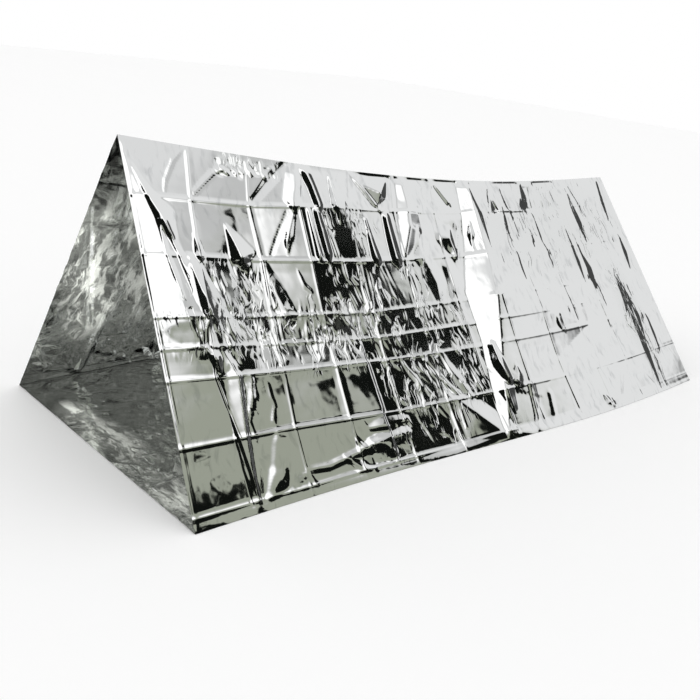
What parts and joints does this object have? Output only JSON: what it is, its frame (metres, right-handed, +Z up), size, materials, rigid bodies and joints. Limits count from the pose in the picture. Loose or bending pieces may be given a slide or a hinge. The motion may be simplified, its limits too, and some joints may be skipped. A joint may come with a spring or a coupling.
{
  "type": "emergency tube tent",
  "caption": "Emergency shelter: an endless tube of crinkled silver film pitched over a sagging ridge line, triangular in section, with a flat floor and both ends open.",
  "frame": {"origin": "middle of the tent's bounding box, at the underside of its floor", "axes": "+X along the ridge from the picture's near open end to its far one, +Z up, and the wall that faces the camera in the picture looks towards -Y"},
  "size_m": [2.448, 1.2158, 0.857],
  "materials": {
    "silver_film": "metallised polyester film, mirror bright, creased from packing and crinkled"
  },
  "bodies": {
    "root": {"film_tube": "silver_film"}
  },
  "joints": []
}
